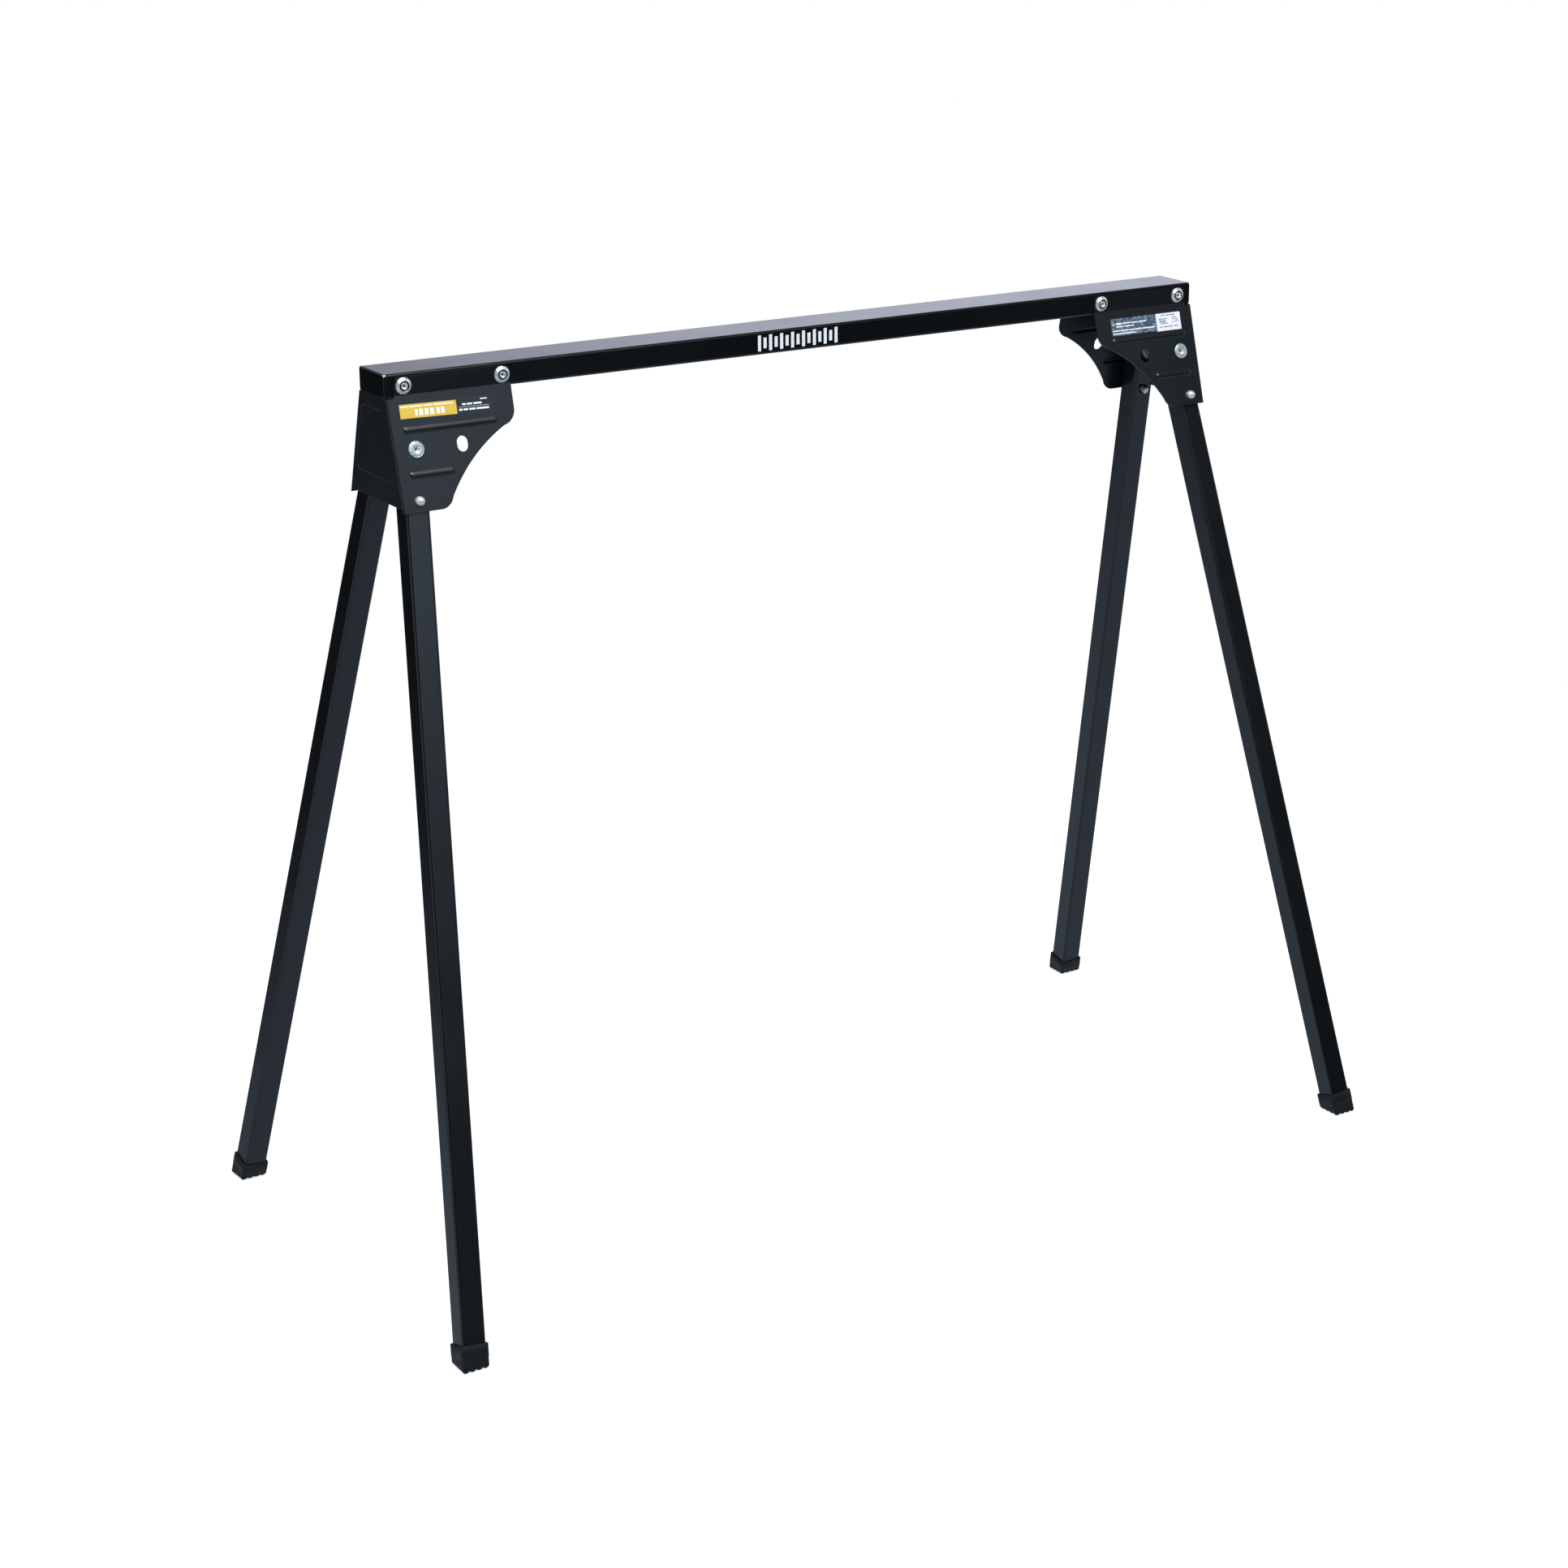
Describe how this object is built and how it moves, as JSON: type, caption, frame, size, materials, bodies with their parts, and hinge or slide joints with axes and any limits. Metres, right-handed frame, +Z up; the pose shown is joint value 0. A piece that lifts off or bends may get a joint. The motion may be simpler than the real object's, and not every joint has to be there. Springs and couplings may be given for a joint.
{
  "type": "folding sawhorse",
  "caption": "Folding steel sawhorse: channel beam on two splayed end brackets, with hinged square-tube legs, spring lock pins and ribbed rubber feet.",
  "frame": {"origin": "on the floor, under the middle of the beam", "axes": "+X along the beam, -Y towards the labelled front, +Z up"},
  "size_m": [0.9458, 0.4642, 0.77],
  "materials": {
    "black_powder_coat": "satin black powder coat with a fine texture",
    "zinc_screw": "bright zinc-plated screws",
    "zinc_bolt": "dull zinc-plated bolt, nut and bush",
    "steel_pin": "polished steel",
    "spring_steel": "spring steel",
    "nylon_washer": "natural nylon",
    "rubber_foot": "moulded black rubber, matt",
    "load_label_vinyl": "printed vinyl, yellow field on dark blue",
    "warning_label_vinyl": "printed vinyl, dark blue with light bars",
    "plain_label_paper": "white printed paper",
    "white_print": "white screen print"
  },
  "bodies": {
    "frame": {"beam": "black_powder_coat", "bracket_left": "black_powder_coat", "bracket_right": "black_powder_coat", "beam_screws": "zinc_screw", "beam_nuts": "zinc_bolt", "pivot_bolts": "zinc_bolt", "pivot_nuts": "zinc_bolt", "pivot_washers": "nylon_washer", "load_label": "load_label_vinyl", "warning_label": "warning_label_vinyl", "plain_label": "plain_label_paper", "beam_mark": "white_print"},
    "leg_left_front": {"leg_tube_left_front": "black_powder_coat", "pivot_bush_left_front": "zinc_bolt", "foot_left_front": "rubber_foot", "lock_spring_left_front": "spring_steel"},
    "pin_left_front": {"lock_pin_left_front": "steel_pin", "pin_clip_left_front": "zinc_bolt"},
    "leg_left_back": {"leg_tube_left_back": "black_powder_coat", "pivot_bush_left_back": "zinc_bolt", "foot_left_back": "rubber_foot", "lock_spring_left_back": "spring_steel"},
    "pin_left_back": {"lock_pin_left_back": "steel_pin", "pin_clip_left_back": "zinc_bolt"},
    "leg_right_front": {"leg_tube_right_front": "black_powder_coat", "pivot_bush_right_front": "zinc_bolt", "foot_right_front": "rubber_foot", "lock_spring_right_front": "spring_steel"},
    "pin_right_front": {"lock_pin_right_front": "steel_pin", "pin_clip_right_front": "zinc_bolt"},
    "leg_right_back": {"leg_tube_right_back": "black_powder_coat", "pivot_bush_right_back": "zinc_bolt", "foot_right_back": "rubber_foot", "lock_spring_right_back": "spring_steel"},
    "pin_right_back": {"lock_pin_right_back": "steel_pin", "pin_clip_right_back": "zinc_bolt"}
  },
  "joints": [
    {"name": "fold_left_front", "type": "hinge", "parent": "frame", "child": "leg_left_front", "pos_m": [-0.387, -0.03581, 0.71042], "axis": [0, -0.9632, 0.2689], "range_deg": [0, 97.6], "deforming": ["lock_pin_left_front", "pin_clip_left_front"]},
    {"name": "press_left_front", "type": "slide", "parent": "leg_left_front", "child": "pin_left_front", "axis": [0, -0.9632, 0.2689], "range_m": [-0.0068, 0], "stiffness_N_per_m": 400, "springref_m": 0.008, "deforming": ["lock_spring_left_front"]},
    {"name": "fold_left_back", "type": "hinge", "parent": "frame", "child": "leg_left_back", "pos_m": [-0.387, 0.03581, 0.71042], "axis": [0, -0.9632, -0.2689], "range_deg": [0, 97.6], "deforming": ["lock_pin_left_back", "pin_clip_left_back"]},
    {"name": "press_left_back", "type": "slide", "parent": "leg_left_back", "child": "pin_left_back", "axis": [0, 0.9632, 0.2689], "range_m": [-0.0068, 0], "stiffness_N_per_m": 400, "springref_m": 0.008, "deforming": ["lock_spring_left_back"]},
    {"name": "fold_right_front", "type": "hinge", "parent": "frame", "child": "leg_right_front", "pos_m": [0.387, -0.03581, 0.71042], "axis": [0, 0.9632, -0.2689], "range_deg": [0, 93.9], "deforming": ["lock_pin_right_front", "pin_clip_right_front"]},
    {"name": "press_right_front", "type": "slide", "parent": "leg_right_front", "child": "pin_right_front", "axis": [0, -0.9632, 0.2689], "range_m": [-0.0068, 0], "stiffness_N_per_m": 400, "springref_m": 0.008, "deforming": ["lock_spring_right_front"]},
    {"name": "fold_right_back", "type": "hinge", "parent": "frame", "child": "leg_right_back", "pos_m": [0.387, 0.03581, 0.71042], "axis": [0, 0.9632, 0.2689], "range_deg": [0, 93.9], "deforming": ["lock_pin_right_back", "pin_clip_right_back"]},
    {"name": "press_right_back", "type": "slide", "parent": "leg_right_back", "child": "pin_right_back", "axis": [0, 0.9632, 0.2689], "range_m": [-0.0068, 0], "stiffness_N_per_m": 400, "springref_m": 0.008, "deforming": ["lock_spring_right_back"]}
  ]
}
